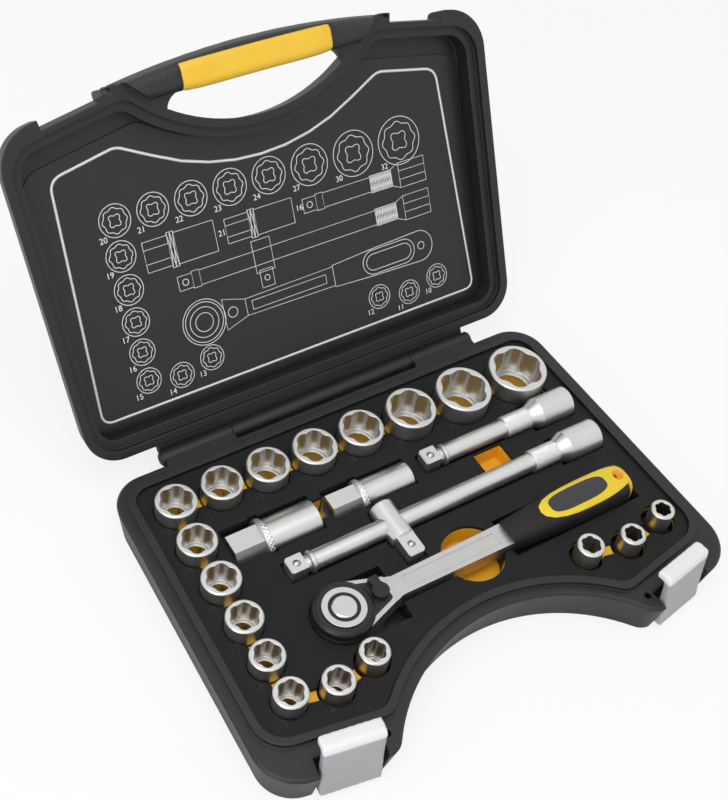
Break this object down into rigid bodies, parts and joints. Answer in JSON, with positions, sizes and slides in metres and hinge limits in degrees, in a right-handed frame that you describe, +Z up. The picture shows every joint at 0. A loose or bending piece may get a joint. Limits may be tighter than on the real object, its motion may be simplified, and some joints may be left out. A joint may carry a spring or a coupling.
{
  "type": "socket wrench set in case",
  "caption": "Half-inch-drive socket wrench set in a hinged black carrying case: sockets, extension bars, sliding tee, spark plug sockets and a ratchet in a yellow-lined tray.",
  "frame": {"origin": "centre of the base's bottom face, on the floor that the case lies on", "axes": "+X along the hinge to the right, +Y to the hinge at the back, +Z up"},
  "size_m": [0.3584, 0.4011, 0.2395],
  "materials": {
    "case_black": "fine moulded grain",
    "tray_black": "fine moulded grain",
    "liner_yellow": "satin vacuum-formed sheet",
    "label_slate": "satin with white line print",
    "grip_yellow": "satin",
    "latch_silver": "satin silver paint",
    "chrome_satin": "satin with bright edges",
    "pin_steel": "drawn wire",
    "cover_black": "satin",
    "grip_black": "soft-touch",
    "inlay_yellow": "satin",
    "badge_dark": "satin, bare",
    "insert_rubber": "plain"
  },
  "bodies": {
    "case_base": {"base_shell": "case_black", "tool_tray": "tray_black", "pocket_liner": "liner_yellow", "hinge_pin": "pin_steel", "latch_pins": "pin_steel"},
    "lid": {"lid_shell": "case_black", "lid_label_plate": "label_slate", "handle_grip": "grip_yellow"},
    "latch_left": {"latch_left": "latch_silver"},
    "latch_right": {"latch_right": "latch_silver"},
    "socket_10": {"socket_10": "chrome_satin"},
    "socket_11": {"socket_11": "chrome_satin"},
    "socket_12": {"socket_12": "chrome_satin"},
    "socket_13": {"socket_13": "chrome_satin"},
    "socket_14": {"socket_14": "chrome_satin"},
    "socket_15": {"socket_15": "chrome_satin"},
    "socket_16": {"socket_16": "chrome_satin"},
    "socket_17": {"socket_17": "chrome_satin"},
    "socket_18": {"socket_18": "chrome_satin"},
    "socket_19": {"socket_19": "chrome_satin"},
    "socket_20": {"socket_20": "chrome_satin"},
    "socket_21": {"socket_21": "chrome_satin"},
    "socket_22": {"socket_22": "chrome_satin"},
    "socket_23": {"socket_23": "chrome_satin"},
    "socket_24": {"socket_24": "chrome_satin"},
    "socket_27": {"socket_27": "chrome_satin"},
    "socket_30": {"socket_30": "chrome_satin"},
    "socket_32": {"socket_32": "chrome_satin"},
    "spark_plug_21": {"spark_plug_socket_21": "chrome_satin", "spark_plug_insert_21": "insert_rubber"},
    "spark_plug_16": {"spark_plug_socket_16": "chrome_satin", "spark_plug_insert_16": "insert_rubber"},
    "bar_125": {"extension_bar_125": "chrome_satin", "bar_125_spring": "pin_steel"},
    "bar_125_ball": {"bar_125_ball": "pin_steel"},
    "bar_250": {"extension_bar_250": "chrome_satin", "bar_250_spring": "pin_steel"},
    "bar_250_ball": {"bar_250_ball": "pin_steel"},
    "tee": {"tee_slider": "chrome_satin", "tee_spring": "pin_steel"},
    "tee_ball": {"tee_ball": "pin_steel"},
    "ratchet": {"ratchet_body": "chrome_satin", "ratchet_cover": "cover_black", "ratchet_grip": "grip_black", "grip_inlay": "inlay_yellow", "grip_badge": "badge_dark", "pawl_spring": "pin_steel"},
    "drive": {"drive_gear": "chrome_satin", "button_spring": "pin_steel"},
    "drive_ball": {"drive_ball": "pin_steel"},
    "button": {"release_button": "chrome_satin"},
    "lever": {"reverse_lever": "cover_black"},
    "pawl": {"pawl": "pin_steel"}
  },
  "joints": [
    {"name": "lid_hinge", "type": "hinge", "parent": "case_base", "child": "lid", "pos_m": [0, 0.129, 0.0265], "axis": [-1, 0, 0], "range_deg": [-121.7, 0]},
    {"name": "latch_left_swing", "type": "hinge", "parent": "case_base", "child": "latch_left", "pos_m": [-0.12828, -0.11394, 0.009], "axis": [0.9848, -0.1736, 0], "range_deg": [-5, 90]},
    {"name": "latch_right_swing", "type": "hinge", "parent": "case_base", "child": "latch_right", "pos_m": [0.12828, -0.11394, 0.009], "axis": [0.9848, 0.1736, 0], "range_deg": [-5, 90]},
    {"name": "socket_10_lift", "type": "slide", "parent": "case_base", "child": "socket_10", "axis": [0, 0, 1], "range_m": [0, 0.06]},
    {"name": "socket_11_lift", "type": "slide", "parent": "case_base", "child": "socket_11", "axis": [0, 0, 1], "range_m": [0, 0.06]},
    {"name": "socket_12_lift", "type": "slide", "parent": "case_base", "child": "socket_12", "axis": [0, 0, 1], "range_m": [0, 0.06]},
    {"name": "socket_13_lift", "type": "slide", "parent": "case_base", "child": "socket_13", "axis": [0, 0, 1], "range_m": [0, 0.06]},
    {"name": "socket_14_lift", "type": "slide", "parent": "case_base", "child": "socket_14", "axis": [0, 0, 1], "range_m": [0, 0.06]},
    {"name": "socket_15_lift", "type": "slide", "parent": "case_base", "child": "socket_15", "axis": [0, 0, 1], "range_m": [0, 0.06]},
    {"name": "socket_16_lift", "type": "slide", "parent": "case_base", "child": "socket_16", "axis": [0, 0, 1], "range_m": [0, 0.06]},
    {"name": "socket_17_lift", "type": "slide", "parent": "case_base", "child": "socket_17", "axis": [0, 0, 1], "range_m": [0, 0.06]},
    {"name": "socket_18_lift", "type": "slide", "parent": "case_base", "child": "socket_18", "axis": [0, 0, 1], "range_m": [0, 0.06]},
    {"name": "socket_19_lift", "type": "slide", "parent": "case_base", "child": "socket_19", "axis": [0, 0, 1], "range_m": [0, 0.06]},
    {"name": "socket_20_lift", "type": "slide", "parent": "case_base", "child": "socket_20", "axis": [0, 0, 1], "range_m": [0, 0.06]},
    {"name": "socket_21_lift", "type": "slide", "parent": "case_base", "child": "socket_21", "axis": [0, 0, 1], "range_m": [0, 0.06]},
    {"name": "socket_22_lift", "type": "slide", "parent": "case_base", "child": "socket_22", "axis": [0, 0, 1], "range_m": [0, 0.06]},
    {"name": "socket_23_lift", "type": "slide", "parent": "case_base", "child": "socket_23", "axis": [0, 0, 1], "range_m": [0, 0.06]},
    {"name": "socket_24_lift", "type": "slide", "parent": "case_base", "child": "socket_24", "axis": [0, 0, 1], "range_m": [0, 0.06]},
    {"name": "socket_27_lift", "type": "slide", "parent": "case_base", "child": "socket_27", "axis": [0, 0, 1], "range_m": [0, 0.06]},
    {"name": "socket_30_lift", "type": "slide", "parent": "case_base", "child": "socket_30", "axis": [0, 0, 1], "range_m": [0, 0.06]},
    {"name": "socket_32_lift", "type": "slide", "parent": "case_base", "child": "socket_32", "axis": [0, 0, 1], "range_m": [0, 0.06]},
    {"name": "spark_plug_21_lift", "type": "slide", "parent": "case_base", "child": "spark_plug_21", "axis": [0, 0, 1], "range_m": [0, 0.06]},
    {"name": "spark_plug_16_lift", "type": "slide", "parent": "case_base", "child": "spark_plug_16", "axis": [0, 0, 1], "range_m": [0, 0.06]},
    {"name": "bar_125_lift", "type": "slide", "parent": "case_base", "child": "bar_125", "axis": [0, 0, 1], "range_m": [0, 0.06]},
    {"name": "bar_250_lift", "type": "slide", "parent": "case_base", "child": "bar_250", "axis": [0, 0, 1], "range_m": [0, 0.1]},
    {"name": "ratchet_lift", "type": "slide", "parent": "case_base", "child": "ratchet", "axis": [0, 0, 1], "range_m": [0, 0.06]},
    {"name": "bar_125_ball_press", "type": "slide", "parent": "bar_125", "child": "bar_125_ball", "axis": [0, 0, -1], "range_m": [0, 0.001], "stiffness_N_per_m": 500, "springref_m": -0.001, "deforming": ["bar_125_spring"]},
    {"name": "bar_250_ball_press", "type": "slide", "parent": "bar_250", "child": "bar_250_ball", "axis": [0, 0, -1], "range_m": [0, 0.001], "stiffness_N_per_m": 500, "springref_m": -0.001, "deforming": ["bar_250_spring"]},
    {"name": "tee_slide", "type": "slide", "parent": "bar_250", "child": "tee", "axis": [1, 0, 0], "range_m": [0, 0.05]},
    {"name": "tee_ball_press", "type": "slide", "parent": "tee", "child": "tee_ball", "axis": [0, 0, -1], "range_m": [0, 0.001], "stiffness_N_per_m": 500, "springref_m": -0.001, "deforming": ["tee_spring"]},
    {"name": "drive_turn", "type": "hinge", "parent": "ratchet", "child": "drive", "pos_m": [-0.084, -0.032, 0.02], "axis": [0, 0, 1], "continuous": true},
    {"name": "button_press", "type": "slide", "parent": "drive", "child": "button", "axis": [0, 0, -1], "range_m": [0, 0.0025], "stiffness_N_per_m": 600, "springref_m": -0.002, "deforming": ["button_spring"]},
    {"name": "drive_ball_release", "type": "slide", "parent": "drive", "child": "drive_ball", "axis": [-1, 0, 0], "range_m": [0, 0.001]},
    {"name": "lever_turn", "type": "hinge", "parent": "ratchet", "child": "lever", "pos_m": [-0.057, -0.032, 0.035], "axis": [0, 0, 1], "range_deg": [-22, 22]},
    {"name": "pawl_rock", "type": "hinge", "parent": "ratchet", "child": "pawl", "pos_m": [-0.0634, -0.032, 0.031], "axis": [0, 0, 1], "range_deg": [-7, 7]}
  ],
  "couplings": [
    {"joint": "tee_slide", "follows": "bar_250_lift", "ratio": 0.5},
    {"joint": "drive_ball_release", "follows": "button_press", "ratio": 0.4},
    {"joint": "pawl_rock", "follows": "lever_turn", "ratio": 0.3}
  ]
}
